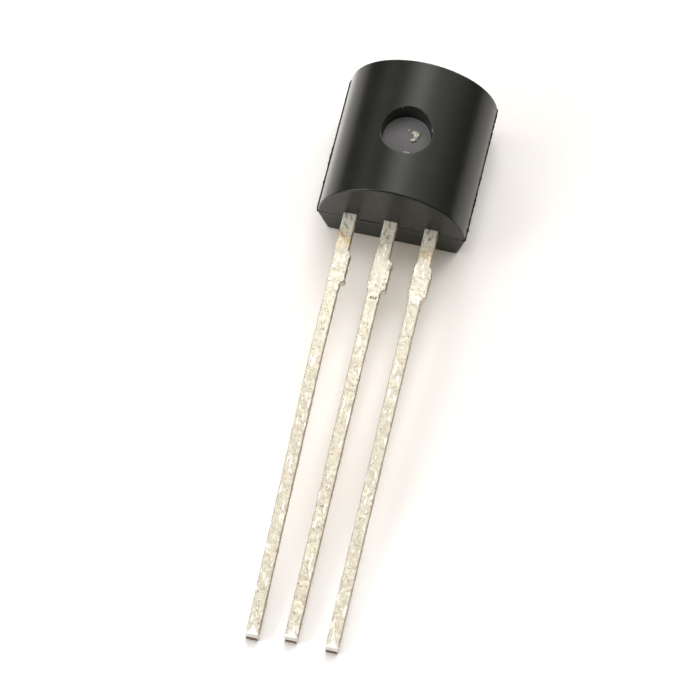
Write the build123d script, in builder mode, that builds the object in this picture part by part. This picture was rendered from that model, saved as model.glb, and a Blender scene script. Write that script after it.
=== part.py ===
from build123d import *
import os
from math import atan2, cos, hypot, sin, tan

# Triac in a moulded package with three stamped leads in line.
#
# Frame: the origin is the centre of the flat side, which the part lies on. +Z points up
# through the round side, +Y runs along the moulding away from the leads, and +X runs
# across the leads towards main terminal 1. All sizes are in millimetres.

# ---------------------------------------------------------------- moulded body
body_width = 4.66  # across the parting plane
body_length = 4.66  # along the leads, at the parting plane
body_depth = 3.42  # flat side to crown
parting_height = 1.26  # flat side to the plane where the mould halves meet
parting_ledge = 0.022  # the round half stands back from the flat half on each flank
flank_setback = 0.27  # each flank of the flat half leans in by this at the flat side
flat_end_setback = 0.13  # each end of the flat half leans in by this at the flat side
end_land = 0.01  # the round half stands back from the flat half at each end
end_draft = 0.02  # each end of the round half leans in by this at the crown
flat_corner_radius = 0.10  # between the flanks and ends of the flat half, at the flat side
parting_corner_radius = 0.04  # and at the parting plane
flat_edge_radius = 0.05  # around the flat side
rim_radius = 0.05  # between the round side and the ends

# Ejector recess in the round side
recess_radius = 0.79
recess_depth = 0.62  # below the crown
recess_offset = -0.08  # from the middle of the body, along Y
recess_side_offset = -0.03  # from the middle of the body, along X
recess_draft = 3.0  # degrees
recess_floor_radius = 0.05

# ---------------------------------------------------------------- leadframe
lead_pitch = 1.27
lead_thickness = 0.36  # of the bare strip, under its solder-dip coat
lead_sink = 0.086  # underside of the leadframe below the parting plane
neck_width = 0.40  # lead width from the body to the dam bar
tail_width = 0.36  # lead width beyond the dam bar
coat_allowance = 0.012  # the strip's tip stands off the flat side's plane by its coat
lead_reach = 13.74  # from the body's end to the longest tip, along the underside
exit_run = 0.7  # lead that leaves the body square, before it is set down
set_down_radius = 10.0  # of the lead's middle surface, where it is set down
tip_roll = 0.10  # top edge of each tip, rolled over by the cropping tool

# Sheared remains of the dam bar
dam_bar_start = 1.2  # from the body's end
dam_bar_width = 1.1
stub_ramp = 0.12  # length of the slope at each end of a stub
lean_start = 4.5  # from the body's end, where a tail starts to lean sideways

# What differs from lead to lead: how much shorter it is than the longest, how far its tip
# leans towards +X, and how far the dam bar's stubs stand out of its -X and +X sides
mt1_cut = 0.11
mt1_lean = 0.04
mt1_stubs = (0.05, 0.12)
gate_cut = 0.165
gate_lean = 0.05
gate_stubs = (0.05, 0.14)
mt2_cut = 0.0
mt2_lean = 0.17
mt2_stubs = (0.01, 0.11)

# Inside the moulding
neck_inside = 0.60  # of each shank, past the notches that lock it in the epoxy
flag_start = 1.88  # from the body's end to the die flag
flag_length = 1.80  # along the body
flag_wall = 0.46  # epoxy between the flag and the flank, at the parting plane
flag_corner = 0.15
pad_width = 0.80  # bonding pads of the other two leads
pad_length = 0.85
pad_corner = 0.12
pad_gap = 0.40  # between the gate pad and the flag
mt1_pad_gap = 0.44  # between the MT1 pad and the flag
mt1_pad_advance = 0.75  # the MT1 pad reaches further in than the gate pad by this
lock_hole_radius = 0.22  # epoxy locks through this hole in the flag
lock_hole_inset = 0.38  # hole centre from the flag's far and outer edges
lock_notch_radius = 0.09  # notches in each lead just inside the body
lock_notch_inset = 0.30  # notch centre from the body's end

# Chip, solder and bond wires
chip_side = 1.20
chip_thickness = 0.24
chip_inset = 0.20  # chip from the flag's edges that face the two pads
moat_inset = 0.05  # glass moat from the chip's side
moat_width = 0.06
moat_depth = 0.05
electrode_height = 0.02
electrode_inset = 0.02  # electrodes from the moat
gate_electrode_side = 0.32
electrode_gap = 0.08
solder_thickness = 0.04
solder_margin = 0.04  # solder beyond each side of the chip
wire_diameter = 0.125
wire_foot_length = 0.22  # straight run pressed down at each bond
foot_width = 0.18
foot_height = 0.06
mt1_loop_apex = 0.75  # where the loop's two straight legs would meet, above the electrode
mt1_loop_radius = 0.45
gate_loop_apex = 0.55
gate_loop_radius = 0.26
mt1_bond_offset = 0.22  # start of the main wire from the chip's centre, in -X and in +Y

# ---------------------------------------------------------------- places worked out from the sizes
half_width = body_width / 2
half_length = body_length / 2
lead_end = -half_length
round_half_width = half_width - parting_ledge
frame_bottom = parting_height - lead_sink
frame_top = frame_bottom + lead_thickness

flag_outer_x = flag_wall - half_width
flag_inner_x = lead_pitch - pad_width / 2 - mt1_pad_gap
flag_near_y = lead_end + flag_start
flag_centre_y = flag_near_y + flag_length / 2
flag_far_y = flag_near_y + flag_length
gate_pad_y = flag_near_y - pad_gap - pad_length / 2
mt1_pad_y = gate_pad_y + mt1_pad_advance

chip_x = flag_inner_x - chip_inset - chip_side / 2
chip_y = flag_near_y + chip_inset + chip_side / 2
chip_bottom = frame_top + solder_thickness
chip_top = chip_bottom + chip_thickness
electrode_top = chip_top + electrode_height
electrode_side = chip_side - 2 * (moat_inset + moat_width + electrode_inset)
gate_electrode_x = chip_x + (electrode_side - gate_electrode_side) / 2
gate_electrode_y = chip_y - (electrode_side - gate_electrode_side) / 2


# ---------------------------------------------------------------- leads
def shank(x, reach, lean, stubs):
    """One stamped lead without its pad: its plan outline cut from a strip set down to the flat side."""
    bend_y = lead_end - exit_run
    tip_y = lead_end - reach
    slope = atan2(frame_bottom - coat_allowance, bend_y - tip_y)
    tip_top = (tip_y - lead_thickness * sin(slope), coat_allowance + lead_thickness * cos(slope))
    inner_y = lead_end + neck_inside
    dam_y = lead_end - dam_bar_start
    tail_y = dam_y - dam_bar_width
    lean_y = lead_end - lean_start
    cut_y = tip_y - lead_thickness
    neck = neck_width / 2
    tail = tail_width / 2
    left, right = stubs
    with BuildPart() as strip:
        with BuildSketch(Plane.YZ):
            with BuildLine():
                FilletPolyline(
                    (inner_y, frame_bottom),
                    (bend_y, frame_bottom),
                    (tip_y, coat_allowance),
                    radius=set_down_radius - lead_thickness / 2,
                )
                FilletPolyline(
                    tip_top,
                    (bend_y - lead_thickness * tan(slope / 2), frame_top),
                    (inner_y, frame_top),
                    radius=set_down_radius + lead_thickness / 2,
                )
                Line((tip_y, coat_allowance), tip_top)
                Line((inner_y, frame_top), (inner_y, frame_bottom))
            make_face()
        extrude(amount=body_width, both=True)
        with BuildSketch(Plane.XY):
            with BuildLine():
                Polyline(
                    (x - neck, inner_y),
                    (x - neck, dam_y),
                    (x - tail - left, dam_y - stub_ramp),
                    (x - tail - left, tail_y + stub_ramp),
                    (x - tail, tail_y),
                    (x - tail, lean_y),
                    (x - tail + lean, cut_y),
                    (x + tail + lean, cut_y),
                    (x + tail, lean_y),
                    (x + tail, tail_y),
                    (x + tail + right, tail_y + stub_ramp),
                    (x + tail + right, dam_y - stub_ramp),
                    (x + neck, dam_y),
                    (x + neck, inner_y),
                    close=True,
                )
            make_face()
            with Locations(
                (x - neck, lead_end + lock_notch_inset), (x + neck, lead_end + lock_notch_inset)
            ):
                Circle(lock_notch_radius, mode=Mode.SUBTRACT)
        extrude(amount=body_depth, mode=Mode.INTERSECT)
        tip_edge = strip.edges().filter_by(Axis.X).sort_by(Axis.Y)[0]
        fillet(tip_edge, radius=tip_roll)
    return strip.part


def bonding_pad(x, y):
    """Widened inner end of a lead, joined to its neck."""
    with BuildPart() as pad:
        with BuildSketch(Plane.XY.offset(frame_bottom)):
            with Locations((x, y)):
                RectangleRounded(pad_width, pad_length, pad_corner)
            neck_length = y - lead_end - lock_notch_inset - lock_notch_radius
            with Locations((x, y - neck_length / 2)):
                Rectangle(neck_width, neck_length)
        extrude(amount=lead_thickness)
    return pad.part


with BuildPart() as mt1_lead:
    add(shank(lead_pitch, lead_reach - mt1_cut, mt1_lean, mt1_stubs))
    add(bonding_pad(lead_pitch, mt1_pad_y))

with BuildPart() as gate_lead:
    add(shank(0, lead_reach - gate_cut, gate_lean, gate_stubs))
    add(bonding_pad(0, gate_pad_y))

with BuildPart() as mt2_lead:
    add(shank(-lead_pitch, lead_reach - mt2_cut, mt2_lean, mt2_stubs))
    neck_start = lead_end + lock_notch_inset + lock_notch_radius
    with BuildSketch(Plane.XY.offset(frame_bottom)):
        with Locations((-lead_pitch, (neck_start + flag_centre_y) / 2)):
            Rectangle(neck_width, flag_centre_y - neck_start)
        with Locations(((flag_outer_x + flag_inner_x) / 2, flag_centre_y)):
            RectangleRounded(flag_inner_x - flag_outer_x, flag_length, flag_corner)
        with Locations((flag_outer_x + lock_hole_inset, flag_far_y - lock_hole_inset)):
            Circle(lock_hole_radius, mode=Mode.SUBTRACT)
    extrude(amount=lead_thickness)

# ---------------------------------------------------------------- chip and its solder
with BuildPart() as die_solder:
    with BuildSketch(Plane.XY.offset(frame_top)):
        with Locations((chip_x, chip_y)):
            Rectangle(chip_side + 2 * solder_margin, chip_side + 2 * solder_margin)
    with BuildSketch(Plane.XY.offset(chip_bottom)):
        with Locations((chip_x, chip_y)):
            Rectangle(chip_side, chip_side)
    loft()

with BuildPart() as triac_chip:
    with BuildSketch(Plane.XY.offset(chip_bottom)):
        with Locations((chip_x, chip_y)):
            Rectangle(chip_side, chip_side)
    extrude(amount=chip_thickness)
    with BuildSketch(Plane.XY.offset(chip_top)):
        moat_side = chip_side - 2 * moat_inset
        with Locations((chip_x, chip_y)):
            Rectangle(moat_side, moat_side)
            Rectangle(moat_side - 2 * moat_width, moat_side - 2 * moat_width, mode=Mode.SUBTRACT)
    extrude(amount=-moat_depth, mode=Mode.SUBTRACT)
    with BuildSketch(Plane.XY.offset(chip_top)):
        with Locations((chip_x, chip_y)):
            Rectangle(electrode_side, electrode_side)
        gate_window = gate_electrode_side + electrode_gap
        with Locations((gate_electrode_x - electrode_gap / 2, gate_electrode_y + electrode_gap / 2)):
            Rectangle(gate_window, gate_window, mode=Mode.SUBTRACT)
        with Locations((gate_electrode_x, gate_electrode_y)):
            Rectangle(gate_electrode_side, gate_electrode_side)
    extrude(amount=electrode_height)


# ---------------------------------------------------------------- bond wires
def bond_wire(start, end, loop_apex, loop_radius):
    """Looped wire from a chip electrode down to a pad, with a sharp heel and a flat foot at each end."""
    run = hypot(end[0] - start[0], end[1] - start[1])
    direction = Vector(end[0] - start[0], end[1] - start[1], 0).normalized()
    side_plane = Plane(
        origin=(start[0], start[1], 0), x_dir=direction, z_dir=direction.cross(Vector(0, 0, 1))
    )
    high_foot = electrode_top + wire_diameter / 2
    low_foot = frame_top + wire_diameter / 2
    high_heel = (wire_foot_length, high_foot)
    low_heel = (run - wire_foot_length, low_foot)
    with BuildPart() as wire:
        with BuildLine(side_plane) as path:
            Line((0, high_foot), high_heel)
            FilletPolyline(high_heel, (run / 2, electrode_top + loop_apex), low_heel, radius=loop_radius)
            Line(low_heel, (run, low_foot))
        with BuildSketch(Plane(origin=path.line @ 0, z_dir=path.line % 0)):
            Circle(wire_diameter / 2)
        sweep(transition=Transition.RIGHT)
        foot_places = ((wire_foot_length / 2, electrode_top), (run - wire_foot_length / 2, frame_top))
        for along, height in foot_places:
            foot_centre = Vector(start[0], start[1], height) + direction * along
            with BuildSketch(Plane(origin=foot_centre, x_dir=direction, z_dir=(0, 0, 1))):
                SlotOverall(wire_foot_length + foot_width / 2, foot_width)
            extrude(amount=foot_height)
    return wire.part


with BuildPart() as mt1_wire:
    add(
        bond_wire(
            (chip_x - mt1_bond_offset, chip_y + mt1_bond_offset),
            (lead_pitch, mt1_pad_y),
            mt1_loop_apex,
            mt1_loop_radius,
        )
    )

with BuildPart() as gate_wire:
    add(
        bond_wire(
            (gate_electrode_x, gate_electrode_y + wire_foot_length / 2),
            (0, gate_pad_y),
            gate_loop_apex,
            gate_loop_radius,
        )
    )

# ---------------------------------------------------------------- moulded body
with BuildPart() as round_half:
    with BuildSketch(Plane.XZ):
        with BuildLine():
            ThreePointArc(
                (round_half_width, parting_height), (0, body_depth), (-round_half_width, parting_height)
            )
            Line((-round_half_width, parting_height), (round_half_width, parting_height))
        make_face()
    extrude(amount=half_length, both=True)
    with BuildSketch(Plane.YZ):
        with BuildLine() as end_profile:
            Polyline(
                (0, parting_height),
                (half_length - end_land, parting_height),
                (half_length - end_land - end_draft, body_depth),
                (0, body_depth),
            )
            mirror(end_profile.line, about=Plane.YZ)
        make_face()
    extrude(amount=half_width, both=True, mode=Mode.INTERSECT)
    rims = round_half.edges().filter_by(lambda e: e.bounding_box().size.Z > parting_height / 2)
    fillet(rims, radius=rim_radius)
    with BuildSketch(Plane.XY.offset(body_depth)):
        with Locations((recess_side_offset, recess_offset)):
            Circle(recess_radius)
    extrude(amount=-recess_depth, taper=recess_draft, mode=Mode.SUBTRACT)
    recess_floor = round_half.faces().filter_by(
        lambda f: abs(f.center().Z - (body_depth - recess_depth)) < 0.001
    )
    fillet(recess_floor.edges(), radius=recess_floor_radius)

with BuildPart() as package_body:
    with BuildSketch(Plane.XY):
        RectangleRounded(
            body_width - 2 * flank_setback, body_length - 2 * flat_end_setback, flat_corner_radius
        )
    with BuildSketch(Plane.XY.offset(parting_height)):
        RectangleRounded(body_width, body_length, parting_corner_radius)
    loft()
    fillet(package_body.faces().sort_by(Axis.Z)[0].edges(), radius=flat_edge_radius)
    add(round_half.part)
    for embedded in (mt1_lead, gate_lead, mt2_lead, die_solder, triac_chip, mt1_wire, gate_wire):
        add(embedded.part, mode=Mode.SUBTRACT)

# ---------------------------------------------------------------- files
pieces = {
    "package_body": package_body,
    "mt1_lead": mt1_lead,
    "gate_lead": gate_lead,
    "mt2_lead": mt2_lead,
    "die_solder": die_solder,
    "triac_chip": triac_chip,
    "mt1_wire": mt1_wire,
    "gate_wire": gate_wire,
}
os.makedirs("parts", exist_ok=True)
for label, piece in pieces.items():
    piece.part.label = label
    export_step(piece.part, f"parts/{label}.step")
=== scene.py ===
"""Finish of a triac in a moulded package with three stamped leads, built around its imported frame.

The frame's sizes and places set every piece here. Lengths are in metres, and MM turns millimetres
into them. Shapes are grown ring by ring: a ring of numbered vertices is extruded, and each new vertex
goes to the place that a form gives for its number. Finishes are laid out in millimetres, and the two
levels of a step are where a mark starts and where it is full.
"""

import math
from collections import namedtuple

import bmesh
import bpy
from bpy.props import FloatProperty, FloatVectorProperty, IntProperty, PointerProperty
from mathutils import Matrix, Vector, noise


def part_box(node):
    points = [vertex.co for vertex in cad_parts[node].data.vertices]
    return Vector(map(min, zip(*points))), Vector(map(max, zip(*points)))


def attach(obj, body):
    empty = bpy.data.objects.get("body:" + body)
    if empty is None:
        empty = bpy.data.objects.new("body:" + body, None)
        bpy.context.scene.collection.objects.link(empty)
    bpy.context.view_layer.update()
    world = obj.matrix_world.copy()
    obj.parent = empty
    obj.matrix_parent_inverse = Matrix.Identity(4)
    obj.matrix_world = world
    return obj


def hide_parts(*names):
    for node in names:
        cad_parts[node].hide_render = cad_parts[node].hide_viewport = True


bl_info = {
    "name": "Triac Package",
    "version": (1, 0, 0),
    "blender": (4, 5, 0),
    "location": "3D View > Sidebar > Triac",
    "description": "Builds the moulded body, coated leads and stage of a triac around its packed frame",
    "category": "Object",
}

MM = 0.001
QUARTER = math.pi / 2
WELD = 1e-8
LAMP_DISTANCE = 0.4

# Small distances of the shapes.
MOUTH_CHIP = 0.010 * MM
SMALLEST_CORNER = 0.001 * MM
STRIP_CORNER = 0.012 * MM
DAM_SLACK = 0.02 * MM
INSIDE_BODY = 0.3 * MM
BEFORE_TIP = 0.022 * MM
PAST_TIP = 0.010 * MM
FLECK_SUNK = 0.012 * MM
# Rings that close a coat in its tip: millimetres past the tip, and millimetres sunk into the strip.
TIP_RINGS = ((0.008, 0.004), (-0.018, 0.03))
# Rings of the flash: millimetres above the parting plane, and how much of the flash stands out there.
FLASH_SECTION = ((0.006, 0.5), (0, 1), (-0.012, 0.7), (-0.026, 0.15))
# How strongly the flash stands out on each stretch of the parting line.
FLASH_LEFT, FLASH_RIGHT, FLASH_BETWEEN_LEADS, FLASH_AT_ENDS = 1.6, 0.75, 0.7, 0.15
FLASH_ON_CORNER = 0.35

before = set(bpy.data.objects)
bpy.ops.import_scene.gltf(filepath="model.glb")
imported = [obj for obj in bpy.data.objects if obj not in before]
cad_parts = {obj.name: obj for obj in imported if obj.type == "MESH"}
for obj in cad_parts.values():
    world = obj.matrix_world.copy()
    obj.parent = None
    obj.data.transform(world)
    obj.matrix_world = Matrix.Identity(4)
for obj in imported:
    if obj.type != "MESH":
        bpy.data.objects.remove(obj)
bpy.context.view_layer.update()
body_low, body_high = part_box("package_body")
widest = max(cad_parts["package_body"].data.vertices, key=lambda vertex: vertex.co.x)


# ---------------- sizes and colours to change
def length(name, description, millimetres):
    """A length property, given in millimetres and held in metres."""
    default = millimetres * MM
    return FloatProperty(
        name=name, description=description, default=default, precision=6, unit="LENGTH", subtype="DISTANCE"
    )


def angle(name, description, degrees):
    """An angle property, given in degrees and held in radians."""
    return FloatProperty(name=name, description=description, default=math.radians(degrees), subtype="ANGLE")


def colour(name, description, red, green, blue):
    """A colour property of linear values."""
    return FloatVectorProperty(
        name=name, description=description, default=(red, green, blue), min=0, max=1, subtype="COLOR"
    )


class BodySizes(bpy.types.PropertyGroup):
    parting: length("Parting height", "Flat side to the plane where the mould halves meet", widest.co.z / MM)
    ledge: length("Ledge", "How far the round half stands back on each flank", 0.022)
    end_land: length("End land", "How far the round half stands back at each end", 0.005)
    end_draft: length("End draft", "How far the round half's ends lean in at the crown", 0.02)
    flank_setback: length("Flank setback", "How far the flanks lean in at the flat side", 0.27)
    end_setback: length("End setback", "How far the ends lean in at the flat side", 0.13)
    rim: length("Rim radius", "Rounding between the round side and the ends", 0.05)
    parting_corner: length("Parting corner", "Corner radius of the flat half at the parting plane", 0.05)
    flat_corner: length("Flat corner", "Corner radius of the flat half at the flat side", 0.10)
    flat_edge: length("Flat edge", "Rounding around the flat side", 0.05)
    flash: length("Flash", "How far the mould's flash stands out along the parting line", 0.028)
    recess_radius: length("Recess radius", "Radius of the ejector recess at the crown", 0.79)
    recess_depth: length("Recess depth", "Depth of the ejector recess below the crown", 0.62)
    recess_x: length("Recess place across", "Recess centre from the body's middle, across", -0.03)
    recess_y: length("Recess place along", "Recess centre from the body's middle, along", -0.08)
    recess_draft: angle("Recess draft", "Lean of the recess's wall", 3)
    recess_floor: length("Recess floor radius", "Rounding around the recess's floor", 0.05)
    recess_rim: length("Recess rim radius", "Rounding around the recess's mouth", 0.018)
    flank_points: IntProperty(name="Flank points", description="Vertices along each flank", default=76)
    end_points: IntProperty(name="End points", description="Vertices across each end", default=64)


class LeadSizes(bpy.types.PropertyGroup):
    pitch: length("Lead pitch", "Distance between neighbouring leads", 1.27)
    thickness: length("Strip thickness", "Thickness of the bare strip", 0.36)
    neck: length("Neck width", "Width from the body to the dam bar", 0.40)
    tail: length("Tail width", "Width beyond the dam bar", 0.36)
    exit_run: length("Exit run", "Lead that leaves the body square before it is set down", 0.70)
    set_down: length("Set-down radius", "Radius of the middle line where the lead is set down", 10.0)
    tip_roll: length("Tip roll", "Radius of the top edge of each tip", 0.10)
    edge_roll: length("Edge roll", "Radius of the coat over the top edge of each tip", 0.05)
    smear: length("Smear", "Coat that cropping dragged down over the top of each cut face", 0.05)
    dam_start: length("Dam bar start", "Body's end to the dam bar's remains", 1.20)
    dam_width: length("Dam bar width", "Width of the dam bar's remains along the lead", 1.10)
    stub_ramp: length("Stub ramp", "Length of the slope at each end of a stub", 0.12)
    lean_start: length("Lean start", "Body's end to where a tail starts to lean sideways", 4.50)
    plating: length("Plating", "Least thickness of the metal coat", 0.006)
    coat: length("Solder coat", "Mean thickness of the solder-dip coat", 0.012)
    lumps: length("Lumps", "Height of the coat's lumps", 0.012)
    bare_run: length("Bare run", "Lead next to the body that the solder dip didn't reach", 0.62)
    # Painted highlight: the bright triangle at each tip, where cropping also rubbed the coat.
    burnished_highlight: length("Burnished run", "Length of the bright triangle that cropping left at a tip", 0.54)
    spacing: length("Station spacing", "Distance between rings along a lead", 0.045)


class FinishColours(bpy.types.PropertyGroup):
    epoxy: colour("Epoxy", "Black filled epoxy of the round half", 0.0100, 0.0105, 0.0080)
    epoxy_haze: colour("Epoxy haze", "Greyer clouds in the epoxy", 0.019, 0.017, 0.017)
    epoxy_grain: colour("Epoxy grain", "Filler grains that show through the epoxy", 0.024, 0.025, 0.018)
    # Partly painted shade: the ends and the flat half face the shaded front and are given a darker colour
    # than the round half, as well as being duller.
    epoxy_end_shaded: colour("Epoxy end", "Duller epoxy of the ends and the flat half", 0.008, 0.0105, 0.005)
    epoxy_floor: colour("Recess floor", "Matt floor of the ejector recess", 0.245, 0.240, 0.246)
    # Painted light and shade: the recess floor is darker on its near side and paler towards the back, where
    # the wall shades it.
    floor_near_painted_shade: colour("Recess floor, near", "Recess floor on its darker near side", 0.166, 0.161, 0.167)
    floor_grain: colour("Recess floor grain", "Darker grains of the recess floor", 0.13, 0.125, 0.13)
    scratch: colour("Scratch", "Faint scratch on the recess floor", 0.42, 0.41, 0.40)
    dust: colour("Dust", "Dust specks on the epoxy", 0.30, 0.28, 0.24)
    flash: colour("Flash", "Thin brown-black flash of the parting line", 0.014, 0.011, 0.009)
    coat: colour("Solder coat", "Cream-silver solder coat", 0.70, 0.655, 0.54)
    coat_dull: colour("Dull coat", "Pinker and greyer patches of the coat", 0.62, 0.56, 0.47)
    coat_green: colour("Greenish coat", "Greenish patches of the coat", 0.68, 0.68, 0.55)
    coat_pink: colour("Pinkish coat", "Warm pinkish patches of the coat", 0.81, 0.71, 0.60)
    coat_pale: colour("Pale coat", "Paler coat towards the body", 0.88, 0.84, 0.70)
    coat_yellow: colour("Yellowed coat", "Yellow edge of the dip on the outer leads", 0.74, 0.56, 0.30)
    coat_grain: colour("Coat grain", "Fine darker grains of the coat", 0.46, 0.40, 0.31)
    coat_drab: colour("Drab coat", "Greyer coat of the outer leads", 0.60, 0.56, 0.47)
    crust: colour("Crust", "Pale crust at the dam bar's remains", 0.86, 0.82, 0.72)
    # Painted highlight: glints are whiter streaks where the solder is also smoother.
    glint: colour("Glint", "Bright streaks of smooth solder", 0.98, 0.97, 0.94)
    # Painted highlight: the bright triangle on top of each tip, where cropping also rubbed the coat.
    burnish: colour("Burnish", "Bright triangle that cropping rubbed at a tip", 1.0, 0.97, 0.92)
    stain: colour("Stain", "Brown flux stains and specks", 0.25, 0.18, 0.11)
    bare: colour("Bare lead", "Worn plating next to the body", 1.0, 0.95, 0.80)
    bare_streak: colour("Bare streak", "Drawn streaks in the worn plating", 0.92, 0.85, 0.70)
    bare_drab: colour("Bare drab", "Greyer worn plating of the outer leads", 0.42, 0.37, 0.28)
    bare_patch: colour("Bare patch", "Dark patches in the worn plating", 0.15, 0.12, 0.08)
    bare_speck: colour("Bare speck", "Dark specks in the worn plating", 0.12, 0.10, 0.07)
    # Painted highlight on the left edge of the worn plating, which faces the lamps.
    bare_edge_highlight: colour("Bare edge", "Bright left edge of the worn plating", 0.98, 0.95, 0.88)
    copper: colour("Cut copper", "Cropped copper alloy of the lead tips", 0.17, 0.105, 0.07)
    solder: colour("Die solder", "Grey solder under the chip", 0.46, 0.46, 0.47)
    silicon: colour("Silicon", "Polished silicon of the chip", 0.16, 0.17, 0.21)
    aluminium: colour("Aluminium", "Electrodes and bond wires", 0.82, 0.82, 0.83)
    crumb: colour("Crumb", "Cream crumb and flecks on the recess floor", 0.86, 0.82, 0.70)
    crumb_hollow: colour("Crumb hollow", "Greyer hollows of the crumb", 0.40, 0.38, 0.30)


class StageSizes(bpy.types.PropertyGroup):
    distance: length("Camera distance", "Camera to the point that it looks at", 181.6617)
    azimuth: angle("Azimuth", "Camera's turn from the lead side", 13.779)
    elevation: angle("Elevation", "Camera's height as an angle", 64.556)
    roll: angle("Roll", "Camera's turn about its own axis", -0.797)
    lens: FloatProperty(name="Lens", description="Focal length in millimetres", default=309.315)
    look_at: FloatVectorProperty(
        name="Look at",
        description="Point that the camera is aimed at before it is shifted sideways",
        default=(0, -6.83 * MM, 1.3 * MM),
        subtype="TRANSLATION",
    )
    slide_right: length("Slide right", "Camera's shift to its own right", -0.235446)
    slide_up: length("Slide up", "Camera's shift up its own frame", 0.160573)
    floor_width: length("Floor width", "Side of the square floor", 34)


# ---------------- rings
BorderPoint = namedtuple("BorderPoint", "across along turn")


def border_points(flank_count, end_count, corner_steps):
    """Places around a rectangle, anticlockwise from the near end of its +X side.

    across and along run from -1 to 1. turn is the way that the border faces: 0 on a flank, a quarter
    turn on an end, and from the one to the other around a corner.
    """
    flank = [2 * (i + 1) / (flank_count + 1) - 1 for i in range(flank_count)]
    end = [2 * (i + 1) / (end_count + 1) - 1 for i in range(end_count)]
    corner = [QUARTER * i / corner_steps for i in range(corner_steps + 1)]
    points = []
    for side in (1, -1):
        points += [BorderPoint(side, side * along, 0) for along in flank]
        points += [BorderPoint(side, side, turn) for turn in corner]
        points += [BorderPoint(-side * across, side, QUARTER) for across in end]
        points += [BorderPoint(-side, side, turn) for turn in reversed(corner)]
    return points


def start_ring(mesh, places):
    """Makes a filled ring of numbered vertices at the given places, and returns its edges."""
    number = mesh.verts.layers.int.new("number")
    made = bmesh.ops.create_circle(mesh, segments=len(places), radius=1, cap_ends=True)["verts"]
    for i, vertex in enumerate(made):
        vertex[number] = i
        vertex.co = places[i]
    return list(mesh.edges)


def grow_ring(mesh, rim, places):
    """Extrudes a ring and moves each new vertex to its place. Returns the new ring's edges."""
    number = mesh.verts.layers.int["number"]
    made = bmesh.ops.extrude_edge_only(mesh, edges=rim)["geom"]
    for item in made:
        if isinstance(item, bmesh.types.BMVert):
            item.co = places[item[number]]
    return [item for item in made if isinstance(item, bmesh.types.BMEdge)]


def close_ring(mesh, rim):
    """Fills the last ring with one face."""
    bmesh.ops.contextual_create(mesh, geom=rim)


def new_object(name, data):
    """Makes an object of some data and links it to the scene."""
    made = bpy.data.objects.new(name, data)
    bpy.context.scene.collection.objects.link(made)
    return made


def new_mesh(mesh, name, material):
    """Turns a finished bmesh into mesh data with a material."""
    data = bpy.data.meshes.new(name)
    mesh.to_mesh(data)
    mesh.free()
    data.materials.append(material)
    return data


def add_piece(mesh, name, material, sharp_angle, replaced=None):
    """Turns a finished bmesh into a piece that rides on the part."""
    bmesh.ops.remove_doubles(mesh, verts=mesh.verts, dist=WELD)
    bmesh.ops.recalc_face_normals(mesh, faces=mesh.faces)
    data = new_mesh(mesh, name, material)
    data.shade_smooth()
    data.set_sharp_from_angle(angle=math.radians(sharp_angle))
    piece = new_object(name, data)
    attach(piece, "root")
    if replaced:
        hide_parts(replaced)
    return piece


def mix(start, stop, share):
    """What lies that share of the way from start to stop."""
    return start + (stop - start) * share


def ease(value, low, high):
    """A smooth step from 0 at low to 1 at high."""
    share = min(max((value - low) / (high - low), 0.0), 1.0)
    return share * share * (3 - 2 * share)


def grain(place, size, seed):
    """Smooth noise from -1 to 1 whose features are about the given size."""
    return noise.noise(place / size + Vector((seed, 2.7 * seed, -1.3 * seed)))


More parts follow.
